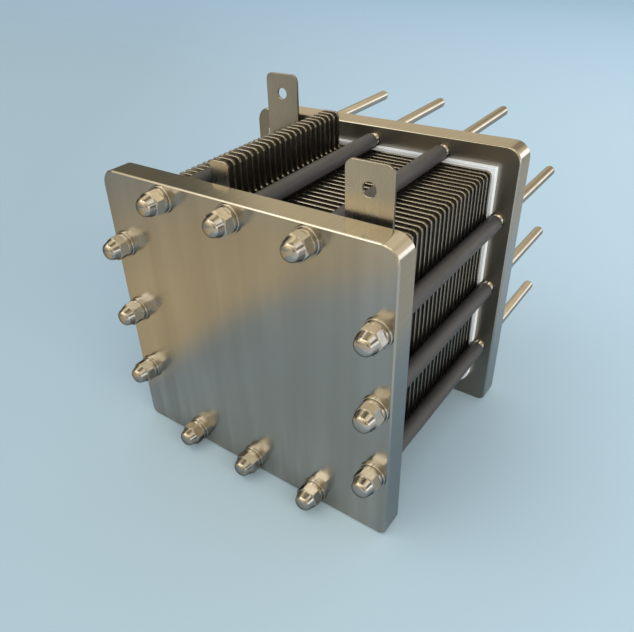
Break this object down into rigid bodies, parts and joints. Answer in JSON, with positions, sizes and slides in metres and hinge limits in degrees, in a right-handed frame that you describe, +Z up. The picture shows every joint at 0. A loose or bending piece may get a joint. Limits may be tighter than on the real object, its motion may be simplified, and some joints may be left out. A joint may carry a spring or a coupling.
{
  "type": "electrolyzer stack",
  "caption": "Filter-press electrolyzer stack: thin electrode plates and gaskets clamped between two thick end plates by sleeved tie rods, with comb tabs and two terminal tabs on top.",
  "frame": {"origin": "on the surface the end plates stand on, below the middle of the whole length", "axes": "+Z up; -Y towards the cap nuts, +Y towards the plain rod ends, along the tie rods; +X to the right as the cap nuts are seen"},
  "size_m": [0.146, 0.194, 0.1599],
  "materials": {
    "end_plate_steel": "polished, lightly brushed",
    "electrode_steel": "satin",
    "rod_steel": "polished",
    "fastener_steel": "polished",
    "gasket_rubber": "matt",
    "black_plastic": "satin",
    "white_plastic": "matt"
  },
  "bodies": {
    "root": {"front_end_plate": "end_plate_steel", "rear_end_plate": "end_plate_steel", "front_insulator": "white_plastic", "rear_insulator": "white_plastic", "front_terminal_plate": "electrode_steel", "rear_terminal_plate": "electrode_steel", "bipolar_plate_01": "electrode_steel", "bipolar_plate_02": "electrode_steel", "bipolar_plate_03": "electrode_steel", "bipolar_plate_04": "electrode_steel", "bipolar_plate_05": "electrode_steel", "bipolar_plate_06": "electrode_steel", "bipolar_plate_07": "electrode_steel", "bipolar_plate_08": "electrode_steel", "bipolar_plate_09": "electrode_steel", "bipolar_plate_10": "electrode_steel", "bipolar_plate_11": "electrode_steel", "bipolar_plate_12": "electrode_steel", "bipolar_plate_13": "electrode_steel", "bipolar_plate_14": "electrode_steel", "bipolar_plate_15": "electrode_steel", "bipolar_plate_16": "electrode_steel", "bipolar_plate_17": "electrode_steel", "bipolar_plate_18": "electrode_steel", "bipolar_plate_19": "electrode_steel", "bipolar_plate_20": "electrode_steel", "bipolar_plate_21": "electrode_steel", "bipolar_plate_22": "electrode_steel", "gasket_01": "gasket_rubber", "gasket_02": "gasket_rubber", "gasket_03": "gasket_rubber", "gasket_04": "gasket_rubber", "gasket_05": "gasket_rubber", "gasket_06": "gasket_rubber", "gasket_07": "gasket_rubber", "gasket_08": "gasket_rubber", "gasket_09": "gasket_rubber", "gasket_10": "gasket_rubber", "gasket_11": "gasket_rubber", "gasket_12": "gasket_rubber", "gasket_13": "gasket_rubber", "gasket_14": "gasket_rubber", "gasket_15": "gasket_rubber", "gasket_16": "gasket_rubber", "gasket_17": "gasket_rubber", "gasket_18": "gasket_rubber", "gasket_19": "gasket_rubber", "gasket_20": "gasket_rubber", "gasket_21": "gasket_rubber", "gasket_22": "gasket_rubber", "gasket_23": "gasket_rubber", "tie_rods": "rod_steel", "rod_sleeves": "black_plastic", "flat_washers": "fastener_steel", "spring_washers": "fastener_steel", "cap_nuts": "fastener_steel"}
  },
  "joints": []
}
